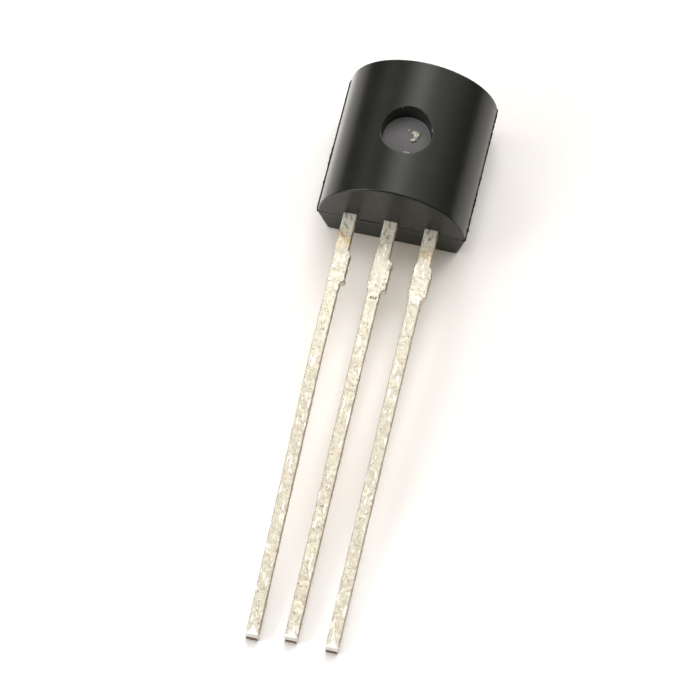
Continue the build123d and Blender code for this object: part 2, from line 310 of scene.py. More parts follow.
# ---------------- moulded body
class BodyForm:
    """Where each ring of the moulded body lies."""

    def __init__(self, sizes):
        self.sizes = sizes
        self.half_width = body_high.x
        self.half_length = body_high.y
        self.depth = body_high.z
        chord = self.half_width - sizes.ledge
        rise = self.depth - sizes.parting
        self.radius = (chord**2 + rise**2) / (2 * rise)
        self.centre_height = self.depth - self.radius
        self.half_turn = math.asin(chord / self.radius)
        self.recess = Vector((sizes.recess_x, sizes.recess_y))
        self.floor_height = self.depth - sizes.recess_depth
        self.floor_radius = sizes.recess_radius - sizes.recess_depth * math.tan(sizes.recess_draft)
        self.points = border_points(sizes.flank_points, sizes.end_points, corner_steps=5)

    def end_reach(self, height):
        """Half length of the round half at a height."""
        sizes = self.sizes
        lean = sizes.end_draft * (height - sizes.parting) / (self.depth - sizes.parting)
        return self.half_length - sizes.end_land - lean

    def on_side(self, turn, along, sunk=0.0):
        """Place on the round side, or below it, from its turn about the side's axis."""
        reach = self.radius - sunk
        return Vector((reach * math.sin(turn), along, self.centre_height + reach * math.cos(turn)))

    def side_border(self, point):
        """Turn and place along the body where the round side meets its rim."""
        turn = point.across * self.half_turn
        height = self.centre_height + self.radius * math.cos(turn)
        return turn, point.along * (self.end_reach(height) - self.sizes.rim)

    def recess_place(self, point, radius, height=None, below=0.0):
        """Place around the recess at a height, or that far below the round side."""
        turn, along = self.side_border(point)
        toward = (Vector((turn * self.radius, along)) - self.recess).normalized()
        across, along = self.recess + toward * radius
        if height is None:
            height = self.centre_height + math.sqrt(self.radius**2 - across**2) - below
        return Vector((across, along, height))

    def recess_floor(self, share):
        radius = (self.floor_radius - self.sizes.recess_floor) * share
        return [self.recess_place(point, radius, self.floor_height) for point in self.points]

    def recess_fillet(self, turn):
        fillet = self.sizes.recess_floor
        radius = self.floor_radius - fillet * (1 - math.sin(turn))
        height = self.floor_height + fillet * (1 - math.cos(turn))
        return [self.recess_place(point, radius, height) for point in self.points]

    def recess_mouth(self, turn):
        """Ring of the mouth's rounding, with the small chips that it has."""
        sizes = self.sizes
        rim = sizes.recess_rim
        places = []
        for point in self.points:
            place = self.recess_place(point, sizes.recess_radius, below=rim)
            chip = MOUTH_CHIP * max(0.0, grain(place, 0.16 * MM, 3.1) - 0.25)
            radius = sizes.recess_radius + chip + rim * (1 - math.cos(turn))
            places.append(self.recess_place(point, radius, below=rim * (1 - math.sin(turn)) + chip))
        return places

    def recess_wall(self, share):
        foot = self.recess_fillet(QUARTER)
        mouth = self.recess_mouth(0)
        return [mix(low, high, share) for low, high in zip(foot, mouth)]

    def side(self, share):
        """Ring of the round side, from the recess's mouth at 0 to the rim at 1."""
        places = []
        for point, mouth in zip(self.points, self.recess_mouth(QUARTER)):
            turn, along = self.side_border(point)
            mouth_turn = math.asin(mouth.x / self.radius)
            places.append(self.on_side(mix(mouth_turn, turn, share), mix(mouth.y, along, share)))
        return places

    def rim_place(self, point, turn):
        """Place on the rounding of the rim, which goes no further around than the border faces."""
        turn = min(turn, point.turn)
        rim = self.sizes.rim
        around, along = self.side_border(point)
        along += math.copysign(rim * math.sin(turn), point.along)
        place = self.on_side(around, along, rim * (1 - math.cos(turn)))
        place.z = max(place.z, self.sizes.parting)
        return place

    def rim(self, turn):
        return [self.rim_place(point, turn) for point in self.points]

    def end_face(self, share):
        """Ring down the ends of the round half, from the rim at 0 to the parting plane at 1."""
        places = []
        for point in self.points:
            place = self.rim_place(point, QUARTER)
            if abs(point.across) < 1:
                place.z = mix(place.z, self.sizes.parting, share)
                place.y = math.copysign(self.end_reach(place.z), point.along)
            places.append(place)
        return places

    def flat_place(self, point, height, inset):
        """Place around the flat half at a height, that far inside its drafted walls."""
        sizes = self.sizes
        sink = (sizes.parting - height) / sizes.parting
        width = self.half_width - sizes.flank_setback * sink - inset
        reach = self.half_length - sizes.end_setback * sink - inset
        corner = max(mix(sizes.parting_corner, sizes.flat_corner, sink) - inset, SMALLEST_CORNER)
        share = math.sin(point.across * self.half_turn) / math.sin(self.half_turn)
        x = share * (width - corner + corner * math.cos(point.turn))
        y = point.along * (reach - corner + corner * math.sin(point.turn))
        return Vector((x, y, height))

    def flat_half(self, height, inset=0.0):
        return [self.flat_place(point, height, inset) for point in self.points]

    def flash_strength(self, point, place):
        """How strongly the flash stands out there: most on the left flank, least at the ends."""
        if abs(point.across) < 1:
            between_leads = -1.1 * MM < place.x < -0.2 * MM and place.y < 0
            return FLASH_BETWEEN_LEADS if between_leads else FLASH_AT_ENDS
        strength = FLASH_LEFT if point.across < 0 else FLASH_RIGHT
        return strength * (FLASH_ON_CORNER if abs(point.along) == 1 else 1)

    def flash_ring(self, height, share):
        """Ring of the ragged flash that was left where the mould halves meet."""
        places = []
        tab = Vector((self.half_width, -self.half_length, self.sizes.parting))
        for point in self.points:
            place = self.flat_place(point, self.sizes.parting, 0)
            ragged = 0.28 + 0.70 * grain(place, 0.34 * MM, 5.3) + 1.40 * grain(place, 0.13 * MM, 9.1)
            near_tab = 1 - ease((place - tab).length, 0.03 * MM, 0.14 * MM)
            least = 0.60 if point.across == -1 else 0.02
            strength = max(ragged, least) * self.flash_strength(point, place) + 0.6 * near_tab
            places.append(self.flat_place(point, self.sizes.parting, -self.sizes.flash * strength * share))
            places[-1].z = height
        return places


def moulded_body(sizes, material):
    """The moulded body: the recess, the round half, the parting line and the flat half."""
    form = BodyForm(sizes)
    parting = sizes.parting
    mesh = bmesh.new()
    rim = start_ring(mesh, form.recess_floor(0.04))
    rings = [form.recess_floor(share) for share in (0.25, 0.5, 0.75, 0.92, 0.985, 1)]
    rings += [form.recess_fillet(QUARTER * step / 4) for step in range(1, 5)]
    rings += [form.recess_wall(share) for share in (0.03, 0.25, 0.5, 0.75, 0.97)]
    rings += [form.recess_mouth(QUARTER * step / 3) for step in range(4)]
    rings += [form.side((step / 30) ** 1.25) for step in range(1, 30)]
    rings += [form.side(0.99), form.side(1)]
    rings += [form.rim(QUARTER * step / 5) for step in range(1, 6)]
    rings += [form.end_face(share) for share in (0.012, 0.2, 0.4, 0.6, 0.8, 0.985, 1)]
    rings += [form.flash_ring(parting + rise * MM, share) for rise, share in FLASH_SECTION]
    rings += [form.flat_half(mix(parting, sizes.flat_edge, share)) for share in (0.03, 0.3, 0.6, 0.98, 1)]
    for step in range(1, 6):
        turn = QUARTER * step / 5
        height = sizes.flat_edge * (1 - math.sin(turn))
        rings.append(form.flat_half(height, sizes.flat_edge * (1 - math.cos(turn))))
    edge = form.flat_half(0, sizes.flat_edge * 1.25)
    rings += [edge] + [[place * share for place in edge] for share in (0.7, 0.4, 0.05)]
    for ring in rings:
        rim = grow_ring(mesh, rim, ring)
    close_ring(mesh, rim)
    return add_piece(mesh, "moulded_body", material, 38, "package_body")


# ---------------- coated leads
Burr = namedtuple("Burr", "side start stop height")
LeadMarks = namedtuple("LeadMarks", "node place lean stubs burrs seed")

# Place counts pitches from the middle lead. Lean, the stubs' stand-out at the left and the right, and
# where each burr starts, stops and how high it is, are in millimetres.
LEADS = (
    LeadMarks(
        node="mt1_lead",
        place=1,
        lean=0.04,
        stubs=(0.05, 0.12),
        burrs=(Burr(-1, 1.16, 1.30, 0.03), Burr(-1, 1.66, 1.80, 0.02), Burr(1, 2.16, 2.36, 0.015)),
        seed=11.3,
    ),
    LeadMarks(
        node="gate_lead",
        place=0,
        lean=0.05,
        stubs=(0.05, 0.14),
        burrs=(Burr(-1, 1.10, 1.24, 0.035), Burr(1, 1.30, 1.46, 0.03), Burr(-1, 1.98, 2.12, 0.025)),
        seed=23.9,
    ),
    LeadMarks(
        node="mt2_lead",
        place=-1,
        lean=0.17,
        stubs=(0.01, 0.11),
        burrs=(Burr(-1, 1.02, 1.20, 0.02), Burr(1, 1.28, 1.42, 0.015), Burr(1, 2.06, 2.24, 0.03)),
        seed=37.1,
    ),
)


class LeadForm:
    """Middle line and section of one coated lead."""

    def __init__(self, sizes, marks):
        low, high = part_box(marks.node)
        self.sizes = sizes
        self.marks = marks
        self.end = body_low.y
        self.middle_height = high.z - sizes.thickness / 2
        underside = high.z - sizes.thickness
        bend = self.end - sizes.exit_run
        slope = math.atan2(underside - low.z, bend - low.y)
        tip = low.y + (sizes.thickness - sizes.tip_roll) * math.sin(slope)
        self.tip = tip - sizes.thickness / 2 * math.sin(slope)
        self.straight = sizes.exit_run - (sizes.set_down - sizes.thickness / 2) * math.tan(slope / 2)
        self.arc = sizes.set_down * slope
        arc_end = self.end - self.straight - sizes.set_down * math.sin(slope)
        self.reach = self.straight + self.arc + (arc_end - self.tip) / math.cos(slope)
        self.points = border_points(flank_count=7, end_count=9, corner_steps=3)

    def middle(self, distance):
        """Place along Y, height and tilt of the middle line, that far along it from the body's end."""
        bend = min(max(distance - self.straight, 0.0), self.arc)
        tilt = bend / self.sizes.set_down
        run = max(distance - self.straight - self.arc, 0.0)
        flat = min(distance, self.straight)
        y = self.end - flat - self.sizes.set_down * math.sin(tilt) - run * math.cos(tilt)
        z = self.middle_height - self.sizes.set_down * (1 - math.cos(tilt)) - run * math.sin(tilt)
        return y, z, tilt

    def centre(self, distance):
        """Place across the leads of the middle line."""
        share = (distance - self.sizes.lean_start) / (self.reach - self.sizes.lean_start)
        return self.marks.place * self.sizes.pitch + self.marks.lean * MM * max(share, 0.0)

    def half_width(self, distance, side):
        """Half width of the strip on one side, with its stub and its burrs."""
        sizes = self.sizes
        start = sizes.dam_start - DAM_SLACK
        stop = sizes.dam_start + sizes.dam_width + DAM_SLACK
        stub = sizes.tail / 2 + self.marks.stubs[side > 0] * MM
        before_middle = distance < (start + stop) / 2
        strip = (sizes.neck if before_middle else sizes.tail) / 2
        inside = distance - start if before_middle else stop - distance
        width = mix(strip, stub, min(max(inside / sizes.stub_ramp, 0.0), 1.0))
        for burr in self.marks.burrs:
            if burr.side == side:
                share = (distance / MM - burr.start) / (burr.stop - burr.start)
                if 0 < share < 1:
                    width += burr.height * MM * math.sin(math.pi * share) ** 0.7
        return width

    def roll(self, distance):
        """How far the top edge of the tip is rolled down."""
        radius = self.sizes.edge_roll
        into = max(radius - (self.reach - distance), 0.0)
        return radius - math.sqrt(max(radius**2 - into**2, 0.0))

    def coat(self, place, distance, on_side):
        """Thickness of the metal coat at a place on the strip."""
        sizes = self.sizes
        seed = self.marks.seed
        dipped = ease(distance, sizes.bare_run * 0.8, sizes.bare_run * 1.5)
        dam_stop = sizes.dam_start + sizes.dam_width
        dam = ease(distance, sizes.dam_start * 0.8, sizes.dam_start)
        dam *= 1 - ease(distance, dam_stop, dam_stop + sizes.dam_width / 2)
        broad = grain(place, 0.30 * MM, seed)
        fine = grain(place, 0.11 * MM, seed + 4)
        tiny = grain(place, 0.05 * MM, seed + 8)
        lumps = sizes.lumps * (0.75 * broad + 0.5 * fine + 0.2 * tiny)
        ragged = sizes.lumps * dam * ((1.6 if on_side else 0.7) * max(fine, 0.0) + 0.6 * broad + 0.4 * tiny)
        thin_end = ease(self.reach - distance, 0, 0.25 * MM)
        dip = dipped * (sizes.coat - sizes.plating + lumps * (0.4 + 0.6 * thin_end)) + ragged
        return max(sizes.plating + dip, 0.5 * sizes.plating)

    def section(self, distance, inset=None):
        """Ring of the coated lead at a distance along it. With an inset, it is tucked into the strip."""
        y, z, tilt = self.middle(distance)
        x = self.centre(distance)
        half = self.sizes.thickness / 2
        top = half - self.roll(distance) - (self.sizes.smear if distance > self.reach else 0)
        left = self.half_width(distance, -1)
        right = self.half_width(distance, 1)

        def place_of(across, up):
            return Vector((x + across, y - up * math.sin(tilt), z + up * math.cos(tilt)))

        places = []
        for point in self.points:
            across = mix(STRIP_CORNER - left, right - STRIP_CORNER, (point.across + 1) / 2)
            up = mix(STRIP_CORNER - half, top - STRIP_CORNER, (point.along + 1) / 2)
            if inset is None:
                stand_out = self.coat(place_of(across, up), distance, abs(point.across) == 1)
            else:
                stand_out = -inset
            across += point.across * math.cos(point.turn) * (STRIP_CORNER + stand_out)
            up += point.along * math.sin(point.turn) * (STRIP_CORNER + stand_out)
            place = place_of(across, up)
            place.z = max(place.z, 0.0)
            places.append(place)
        return places

    def burnish(self, place):
        """How much of the painted highlight on top of the tip lies there: a bright triangle, where the
        cropping tool also rubbed the coat.
        """
        off_middle = abs(place.x - self.centre(self.reach)) / self.half_width(self.reach, 1)
        run = self.sizes.burnished_highlight * mix(0.30, 1, max(1 - off_middle, 0.0) ** 2)
        on_top = place.z > self.middle(self.reach)[1]
        return on_top * (1 - ease((place.y - self.tip) / run, 0.45, 1.0))

    def stations(self):
        """Distances of the rings, closer together at the dam bar and at the rolled tip."""
        sizes = self.sizes
        distance = sizes.spacing
        last = self.reach - BEFORE_TIP
        found = []
        while distance < last:
            found.append(distance)
            dam = 0.8 * sizes.dam_start < distance < 2.4 * sizes.dam_start
            near_tip = self.reach - distance < 1.4 * sizes.tip_roll
            distance += sizes.spacing * (0.25 if near_tip else 0.55 if dam else 1)
        return found + [last]


def coated_lead(sizes, marks, material):
    """The plating and solder-dip coat around one lead, from inside the body to behind its cropped tip."""
    form = LeadForm(sizes, marks)
    mesh = bmesh.new()
    rim = start_ring(mesh, form.section(-INSIDE_BODY))
    for distance in form.stations() + [form.reach + PAST_TIP]:
        rim = grow_ring(mesh, rim, form.section(distance))
    for past, inset in TIP_RINGS:
        rim = grow_ring(mesh, rim, form.section(form.reach + past * MM, inset * MM))
    close_ring(mesh, rim)
    # Share of the painted highlight on top of the tip, for the coat's finish.
    burnish = mesh.verts.layers.float.new("burnish")
    for vertex in mesh.verts:
        vertex[burnish] = form.burnish(vertex.co)
    name = marks.node.replace("_lead", "_coat")
    return add_piece(mesh, name, material, 50)


# ---------------- crumb and flecks
# Each grain is its place across and along from the body's middle, its radius, and for a speck its
# height above the recess's floor, in millimetres. The hook is drawn from its foot to its far tip.
HOOK = (
    (0.118, 0.125, 0.046), (0.150, 0.160, 0.046), (0.205, 0.160, 0.052), (0.262, 0.155, 0.054),
    (0.306, 0.135, 0.050), (0.296, 0.082, 0.044), (0.225, 0.085, 0.060), (0.170, 0.085, 0.050),
    (0.225, 0.030, 0.056), (0.262, 0.010, 0.046), (0.238, -0.045, 0.054), (0.205, -0.098, 0.056),
    (0.162, -0.112, 0.050), (0.120, -0.100, 0.034),
)
SPECKS = ((-0.006, 0.195, 0.038, 0.028), (0.026, 0.160, 0.012, 0.006), (0.030, -0.560, 0.010, 0.006))
RIM_FLECKS = (
    (0.078, -0.838, 0.018), (0.112, -0.842, 0.020), (0.160, -0.838, 0.014), (0.205, -0.832, 0.023),
    (0.722, 0.145, 0.015), (0.735, 0.080, 0.012), (-0.322, 0.650, 0.008),
)


def add_grain(mesh, x, y, height, radius, squash, seed):
    """Adds one lumpy grain to a bmesh. Its place and radius are in millimetres."""
    radius *= MM
    made = bmesh.ops.create_icosphere(mesh, subdivisions=3, radius=radius)["verts"]
    for vertex in made:
        vertex.co *= 1 + 0.30 * noise.noise(vertex.co / radius * 1.3 + Vector((seed, 0, 0)))
        vertex.co *= 1 + 0.12 * noise.noise(vertex.co / radius * 4.1 + Vector((0, seed, 0)))
        vertex.co.z *= squash
    bmesh.ops.translate(mesh, verts=made, vec=Vector((x, y, height)) * MM)


def recess_crumb(sizes, material):
    """The hooked crumb, the specks beside it and the flecks around the recess's mouth."""
    floor = (body_high.z - sizes.recess_depth) / MM
    form = BodyForm(sizes)
    mesh = bmesh.new()
    for i, (x, y, radius) in enumerate(HOOK):
        add_grain(mesh, x, y, floor + 0.6 * radius, radius, 0.75, 1.7 * i)
    for i, (x, y, radius, height) in enumerate(SPECKS):
        add_grain(mesh, x, y, floor + height, radius, 0.7, 20 + 3 * i)
    for i, (x, y, radius) in enumerate(RIM_FLECKS):
        side = form.on_side(math.asin(x * MM / form.radius), y, FLECK_SUNK)
        add_grain(mesh, x, y, side.z / MM, radius, 0.6, 31 + i)
    return add_piece(mesh, "recess_crumb", material, 60)


# ---------------- shader maths
class Value:
    """A node's output. Python's operators on it add Math nodes."""

    def __init__(self, finish, socket):
        self.finish = finish
        self.socket = socket

    def maths(self, operation, *values):
        """Adds one Math node."""
        return self.finish.node("ShaderNodeMath", {"operation": operation}, dict(enumerate(values)))

    def __add__(self, other):
        return self.maths("ADD", self, other)

    def __sub__(self, other):
        return self.maths("SUBTRACT", self, other)

    def __rsub__(self, other):
        return self.maths("SUBTRACT", other, self)

    def __mul__(self, other):
        return self.maths("MULTIPLY", self, other)

    def __pow__(self, other):
        return self.maths("POWER", self, other)

    def __abs__(self):
        return self.maths("ABSOLUTE", self)

    def __or__(self, other):
        return self.maths("MAXIMUM", self, other)

    __radd__ = __add__
    __rmul__ = __mul__


class NodeTree:
    """A node tree under construction."""

    def __init__(self, tree):
        self.tree = tree

    def node(self, kind, settings=None, inputs=None, output=0):
        """Adds a node: its settings come first, then the values or links of its sockets."""
        node = self.tree.nodes.new(kind)
        for name, setting in (settings or {}).items():
            if name == "stops":
                self.set_stops(node.color_ramp.elements, setting)
            else:
                setattr(node, name, setting)
        for name, value in (inputs or {}).items():
            self.feed(node.inputs[name], value)
        return Value(self, node.outputs[output])

    def set_stops(self, elements, stops):
        """Gives a ramp its stops, each a place from 0 to 1 and a grey level."""
        while len(elements) < len(stops):
            elements.new(1)
        for element, (place, level) in zip(elements, stops):
            element.position = place
            element.color = (level, level, level, 1)

    def feed(self, socket, value):
        """Gives a socket its link, number or vector, or a colour without its alpha."""
        if isinstance(value, Value):
            self.tree.links.new(value.socket, socket)
        elif socket.type == "RGBA":
            socket.default_value = (*value, 1)
        else:
            socket.default_value = value

    def step(self, value, low, high):
        """A smooth step from 0 at low to 1 at high."""
        ends = {"Value": value, "From Min": low, "From Max": high}
        return self.node("ShaderNodeMapRange", {"interpolation_type": "SMOOTHSTEP"}, ends)

    def window(self, value, start, full, fade, stop):
        """1 from full to fade, and 0 before start and after stop."""
        return self.step(value, start, full) * self.step(value, stop, fade)

    def near(self, value, middle, outer, inner):
        """1 within inner of a middle value, and 0 beyond outer."""
        return self.step(abs(value - middle), outer, inner)

    def split(self, vector):
        """The three parts of a vector."""
        outputs = self.node("ShaderNodeSeparateXYZ", inputs={0: vector}).socket.node.outputs
        return [Value(self, output) for output in outputs]

    def rays(self, *kinds):
        """1 for rays of the given kinds, and 0 for the others."""
        outputs = self.node("ShaderNodeLightPath").socket.node.outputs
        found, *others = (Value(self, outputs[f"Is {kind} Ray"]) for kind in kinds)
        for other in others:
            found = found | other
        return found

    def blend_level(self, share, first, second):
        """Number between two numbers."""
        return self.node("ShaderNodeMix", {"data_type": "FLOAT"}, {0: share, 2: first, 3: second})

    def layers(self, base, *coats):
        """Colour after coats, each a share and its colour, are laid over a base one by one."""
        for share, tint in coats:
            base = self.node("ShaderNodeMix", {"data_type": "RGBA"}, {0: share, 6: base, 7: tint}, 2)
        return base


class Finish(NodeTree):
    """A material under construction. Its patterns are laid out in millimetres."""

    def __init__(self, name):
        self.material = bpy.data.materials.new(name)
        self.material.use_nodes = True
        super().__init__(self.material.node_tree)
        self.shader = self.tree.nodes["Principled BSDF"]
        position = self.node("ShaderNodeTexCoord", output="Object")
        self.place = self.node("ShaderNodeVectorMath", {"operation": "SCALE"}, {0: position, "Scale": 1 / MM})

    def axes(self):
        """Place across, along and up, in millimetres."""
        return self.split(self.place)

    def pattern_place(self, shift, stretch):
        """Place in a pattern that is shifted and then stretched."""
        shift = (shift, 2 * shift, -shift)
        moved = self.node("ShaderNodeVectorMath", {"operation": "ADD"}, {0: self.place, 1: shift})
        return self.node("ShaderNodeVectorMath", {"operation": "MULTIPLY"}, {0: moved, 1: stretch})

    def noise(self, size, detail=3.0, shift=0.0, stretch=(1, 1, 1)):
        """Cloudy pattern from 0 to 1 with features of about that size, in millimetres."""
        inputs = {"Vector": self.pattern_place(shift, stretch), "Scale": 1 / size, "Detail": detail}
        return self.node("ShaderNodeTexNoise", inputs=inputs)

    def specks(self, spacing, radius, share, shift=0.0):
        """Round specks of up to a radius, in a share of the cells of a pattern of that spacing."""
        inputs = {"Vector": self.pattern_place(shift, (1, 1, 1)), "Scale": 1 / spacing}
        cell = self.node("ShaderNodeTexVoronoi", inputs=inputs, output="Distance")
        cell_colour = Value(self, cell.socket.node.outputs["Color"])
        chance = self.node("ShaderNodeSeparateColor", inputs={0: cell_colour})
        size = self.step(chance, 1 - share, 1) * (radius / spacing)
        return self.step(size - cell, 0, 0.3 * radius / spacing)

    def bump(self, height, depth):
        """Feeds the normal from a height pattern whose full range is depth millimetres."""
        relief = self.node("ShaderNodeBump", inputs={"Height": height, "Distance": depth * MM})
        self.feed(self.shader.inputs["Normal"], relief)

    def finish(self, base, roughness, metallic=0.0):
        """Feeds the shader, and returns the finished material."""
        for socket, value in (("Base Color", base), ("Roughness", roughness), ("Metallic", metallic)):
            self.feed(self.shader.inputs[socket], value)
        return self.material


def epoxy_finish(colours, sizes):
    """Black filled epoxy: satin on the round side, duller and, as partly painted shade, darker on the ends,
    matt in the recess.
    """
    finish = Finish("black_epoxy")
    x, y, z = finish.axes()
    parting = sizes.parting / MM
    side, end = body_high.x / MM, body_high.y / MM
    mouth = sizes.recess_radius / MM
    floor = (body_high.z - sizes.recess_depth) / MM
    from_axis = ((x - sizes.recess_x / MM) ** 2 + (y - sizes.recess_y / MM) ** 2) ** 0.5
    in_recess = finish.step(from_axis, mouth - 0.01, mouth - 0.03)
    on_floor = in_recess * finish.window(z, floor - 0.05, floor - 0.02, floor + 0.006, floor + 0.016)
    on_flat_half = finish.step(z, parting + 0.004, parting - 0.02)
    dull = finish.step(abs(y), end - 0.075, end - 0.045) | on_flat_half

    # The flash is painted where it stands out: along both flanks, and at the lead end between two
    # leads. Everywhere but on the left flank it is broken.
    near_parting = finish.near(z, parting - 0.006, 0.024, 0.010)
    standing_out = finish.step(abs(x), side - 0.026, side - 0.018)
    between_leads = finish.near(x, -0.65, 0.50, 0.40) * finish.step(y, 0.012 - end, 0.004 - end)
    unbroken = finish.step(finish.noise(0.16, shift=13.0), 0.30, 0.42) | finish.step(x, -2.0, -2.2)
    on_flash = near_parting * (standing_out | between_leads) * unbroken

    cloud = finish.noise(0.9, detail=4)
    filler = finish.noise(0.035, detail=2, shift=3.0)
    smear = finish.noise(0.22, detail=5, shift=7.0, stretch=(1, 0.25, 1))
    dust = finish.specks(0.55, 0.020, 0.16, shift=1.7) * 0.8
    pits = finish.specks(0.16, 0.020, 0.30, shift=9.2) * dull
    scratch = finish.near(x + (y + 0.307) * 0.35, 0.004, 0.014, 0.004) * finish.near(y, -0.37, 0.12, 0.06)

    floor_tint = finish.layers(
        colours.floor_near_painted_shade,
        # Painted light and shade: paler towards the back of the recess floor, where the wall shades it, and
        # darker on its near side.
        (finish.step(y - 0.3 * x, -0.6, 0.5), colours.epoxy_floor),
        (filler * 0.35, colours.floor_grain),
        (scratch * 0.35, colours.scratch),
    )
    base = finish.layers(
        colours.epoxy,
        # Partly painted shade: the ends and the flat half are darker as well as duller.
        (dull, colours.epoxy_end_shaded),
        (finish.step(cloud, 0.35, 0.75) * 0.35, colours.epoxy_haze),
        (filler * 0.25, colours.epoxy_grain),
        (on_floor, floor_tint),
        (on_flash, colours.flash),
        (dust, colours.dust),
    )
    roughness = 0.19 + 0.06 * cloud + 0.05 * smear + dull * (0.02 + 0.06 * filler)
    roughness += on_flat_half * 0.22 + on_floor * 0.45 + on_flash * 0.45 + dust * 0.3
    height = filler * (0.25 + 0.5 * dull + 1.2 * on_floor) + 0.5 * cloud + 0.25 * smear - 1.2 * pits
    finish.bump(height, 0.0016)
    return finish.finish(base, roughness)


def coat_finish(colours, sizes):
    """Solder-dip coat: lumpy cream-silver, with worn plating next to the body, flux stains, painted glints, a
    painted highlight on each tip and partly painted shade on the side faces.
    """
    finish = Finish("solder_dip_coat")
    x, y, _ = finish.axes()
    lumps = finish.noise(0.075, stretch=(1, 0.55, 1))
    grains = finish.noise(0.028, detail=2, shift=5.0)
    patches = finish.noise(0.15, detail=4, shift=11.0, stretch=(1, 0.7, 1))
    hue = finish.noise(0.24, shift=29.0, stretch=(1, 0.6, 1))
    dross = finish.noise(0.050, shift=17.0, stretch=(1, 0.6, 1))
    streaks = finish.noise(0.060, shift=23.0, stretch=(1, 0.22, 1))
    specks = finish.specks(0.13, 0.026, 0.35, shift=4.1)
    # Painted glints: whiter streaks along the lead, which are also smoother.
    shine = finish.step(finish.noise(0.075, detail=2, shift=31.0, stretch=(1, 0.15, 1)), 0.615, 0.67)

    # Places along the lead: the bare run, the yellow edge of the dip and the crusted dam bar.
    distance = abs(y) - abs(body_low.y) / MM
    bare_run = sizes.bare_run / MM
    ragged_edge = finish.noise(0.20, shift=2.0) * 0.5 - 0.25
    bare = finish.step(distance + ragged_edge, bare_run * 1.35, bare_run * 0.65)
    yellowed = finish.window(distance, bare_run * 0.7, bare_run, bare_run * 1.5, bare_run * 2.3)
    yellowed = yellowed * finish.step(patches, 0.30, 0.62) * finish.step(abs(x), 0.1, 0.9)
    crusted = finish.window(distance, 0.90, 1.10, 2.35, 2.70)
    dulled = finish.step(x, 0.4, 0.9) | finish.step(distance, 4, 7) * finish.step(x, -0.4, -0.9)
    # Painted highlight: the bright triangle on top of each tip.
    burnished_highlight = finish.node("ShaderNodeAttribute", {"attribute_name": "burnish"}, output="Fac")

    # Places around the lead, where a painted highlight and partly painted shade follow the way each face
    # turns.
    facing = finish.split(finish.node("ShaderNodeNewGeometry", output="Normal"))[0]
    on_side = finish.step(abs(facing), 0.92, 0.995)
    # Painted highlight on the left edge of the worn plating.
    left_edge_highlight = finish.step(facing, -0.15, -0.55) * bare
    # Side faces painted dark brown: partly browned metal, partly painted shade of faces turned away from the
    # lamps.
    browned_and_shaded = (on_side | finish.step(facing, -0.50, -0.85) * 0.7) - left_edge_highlight
    off_middle = x.maths("PINGPONG", x, sizes.pitch / 2 / MM)

    crust = crusted * finish.step(dross + 0.9 * off_middle, 0.71, 0.83) * finish.step(grains, 0.44, 0.56)
    weld_mark = finish.near(distance, 2.55, 0.07, 0.02) * finish.near(x, 0.03, 0.15, 0.08)
    stains = specks * (0.6 - 0.3 * crusted) | crust * 0.75 | weld_mark * finish.step(grains, 0.3, 0.5)
    worn = finish.layers(
        colours.bare,
        (finish.step(streaks, 0.44, 0.62), colours.bare_streak),
        (dulled * 0.3, colours.bare_drab),
        (finish.step(patches, 0.54, 0.62) * 0.6, colours.bare_patch),
        (finish.step(dross, 0.60, 0.70) * 0.6, colours.bare_speck),
        (shine, colours.glint),
    )
    base = finish.layers(
        colours.coat,
        (finish.step(patches, 0.42, 0.60), colours.coat_dull),
        (finish.step(hue, 0.52, 0.64) * 0.6, colours.coat_green),
        (finish.step(hue, 0.46, 0.36) * 0.5, colours.coat_pink),
        (finish.step(distance, 7.0, 3.0) * 0.3, colours.coat_pale),
        (yellowed * 0.85, colours.coat_yellow),
        (finish.step(grains, 0.54, 0.66) * 0.12, colours.coat_grain),
        (finish.step(dross, 0.58, 0.66) * (0.65 - 0.45 * crusted), colours.stain),
        (dulled * 0.35, colours.coat_drab),
        (crusted * 0.35, colours.crust),
        (stains, colours.stain),
        (shine, colours.glint),
        (bare, worn),
        (left_edge_highlight, colours.bare_edge_highlight),
        (browned_and_shaded * (0.45 + 0.3 * finish.step(patches, 0.4, 0.6)), colours.stain),
        (burnished_highlight, colours.burnish),
    )
    roughness = 0.24 + 0.24 * patches + 0.12 * grains + on_side * 0.12 + specks * 0.2 + bare * 0.12
    roughness = finish.blend_level(burnished_highlight, roughness, 0.42) - 0.12 * shine
    height = lumps + 0.22 * grains + 0.25 * streaks - 0.4 * specks
    finish.bump(height * (1 - 0.7 * (bare | burnished_highlight)), 0.019)
    return finish.finish(base, roughness, 1 - 0.5 * specks - (0.9 * bare | 0.7 * burnished_highlight))


def copper_finish(colours):
    """Stamped copper alloy, which shows at the cropped tips: brown, with shear lines."""
    finish = Finish("cropped_copper")
    shear = finish.noise(0.05, detail=4, stretch=(1, 0.2, 0.2))
    tarnish = finish.noise(0.12, detail=4, shift=6.0)
    finish.bump(shear, 0.006)
    base = finish.layers(colours.copper, (tarnish, colours.stain))
    return finish.finish(base, 0.36 + 0.25 * tarnish, 1.0)


def metal_finish(name, tint, size, low, high, depth):
    """Grained metal of one colour, with grains of a size and depth. Its roughness runs from low to high."""
    finish = Finish(name)
    grains = finish.noise(size, detail=4)
    cloud = finish.noise(6 * size, detail=2, shift=2.0)
    finish.bump(grains, depth)
    base = finish.layers(tint, (cloud, [0.7 * level for level in tint]))
    return finish.finish(base, low + (high - low) * grains, 1.0)


def chip_finish(colours):
    """Silicon below, aluminium electrodes on top."""
    finish = Finish("triac_chip")
    z = finish.axes()[2]
    chip_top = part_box("triac_chip")[1].z / MM
    on_top = finish.step(z, chip_top - 0.022, chip_top - 0.012)
    grains = finish.noise(0.04, detail=4)
    finish.bump(grains, 0.001)
    base = finish.layers(colours.silicon, (on_top, colours.aluminium))
    return finish.finish(base, 0.18 + 0.30 * on_top + 0.10 * grains, 0.6 + 0.4 * on_top)


